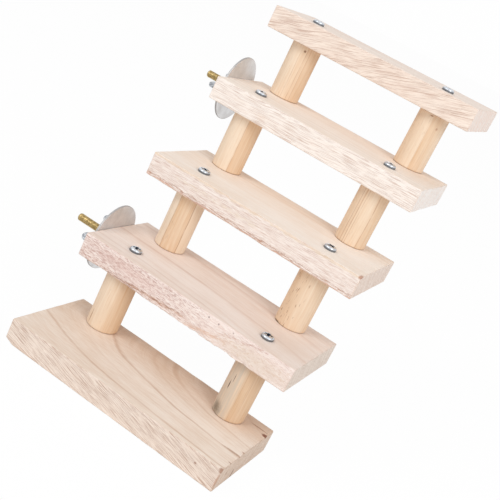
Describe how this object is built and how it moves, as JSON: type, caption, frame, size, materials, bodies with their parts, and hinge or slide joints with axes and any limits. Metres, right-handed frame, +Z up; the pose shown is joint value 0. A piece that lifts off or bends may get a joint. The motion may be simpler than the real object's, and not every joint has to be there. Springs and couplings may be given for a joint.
{
  "type": "pet cage climbing steps",
  "caption": "Small wooden climbing steps for a pet cage: flat boards on round dowel posts, with clamping studs, large washers and wing nuts on the left ends.",
  "frame": {"origin": "centre of the underside of the base board", "axes": "+X along the boards to the right, +Y back and up the steps, +Z up; the studs point along -X"},
  "size_m": [0.177, 0.224, 0.2304],
  "materials": {
    "board_wood": "planed and sawn softwood, unfinished",
    "dowel_wood": "turned pine rod, unfinished",
    "screw_zinc": "bright zinc plate",
    "stud_brass": "yellow zinc plate",
    "washer_steel": "satin zinc plate",
    "nut_zinc": "bright zinc plate"
  },
  "bodies": {
    "steps": {"base_board": "board_wood", "tread_1": "board_wood", "tread_2": "board_wood", "tread_3": "board_wood", "tread_4": "board_wood", "dowel_1_left": "dowel_wood", "dowel_1_right": "dowel_wood", "dowel_2_left": "dowel_wood", "dowel_2_right": "dowel_wood", "dowel_3_left": "dowel_wood", "dowel_3_right": "dowel_wood", "dowel_4_left": "dowel_wood", "dowel_4_right": "dowel_wood", "top_screw_1_left": "screw_zinc", "top_screw_1_right": "screw_zinc", "top_screw_2_left": "screw_zinc", "top_screw_2_right": "screw_zinc", "top_screw_3_left": "screw_zinc", "top_screw_3_right": "screw_zinc", "top_screw_4_left": "screw_zinc", "top_screw_4_right": "screw_zinc", "under_screw_1_left": "screw_zinc", "under_screw_1_right": "screw_zinc", "under_screw_2_left": "screw_zinc", "under_screw_2_right": "screw_zinc", "under_screw_3_left": "screw_zinc", "under_screw_3_right": "screw_zinc", "under_screw_4_left": "screw_zinc", "under_screw_4_right": "screw_zinc", "stud_lower": "stud_brass", "stud_upper": "stud_brass", "inner_washer_lower": "washer_steel", "inner_washer_upper": "washer_steel"},
    "clamp_washer_lower": {"outer_washer_lower": "washer_steel"},
    "clamp_nut_lower": {"wing_nut_lower": "nut_zinc"},
    "clamp_washer_upper": {"outer_washer_upper": "washer_steel"},
    "clamp_nut_upper": {"wing_nut_upper": "nut_zinc"}
  },
  "joints": [
    {"name": "washer_slide_lower", "type": "slide", "parent": "steps", "child": "clamp_washer_lower", "axis": [-1, 0, 0], "range_m": [0, 0.0192]},
    {"name": "nut_turn_lower", "type": "hinge", "parent": "clamp_washer_lower", "child": "clamp_nut_lower", "pos_m": [-0.0755, 0.036, 0.0607], "axis": [-1, 0, 0], "range_deg": [0, 8640]},
    {"name": "washer_slide_upper", "type": "slide", "parent": "steps", "child": "clamp_washer_upper", "axis": [-1, 0, 0], "range_m": [0, 0.016]},
    {"name": "nut_turn_upper", "type": "hinge", "parent": "clamp_washer_upper", "child": "clamp_nut_upper", "pos_m": [-0.0762, 0.1155, 0.1671], "axis": [-1, 0, 0], "range_deg": [0, 7200]}
  ],
  "couplings": [
    {"joint": "washer_slide_lower", "follows": "nut_turn_lower", "m_per_rad": 0.00012732},
    {"joint": "washer_slide_upper", "follows": "nut_turn_upper", "m_per_rad": 0.00012732}
  ]
}
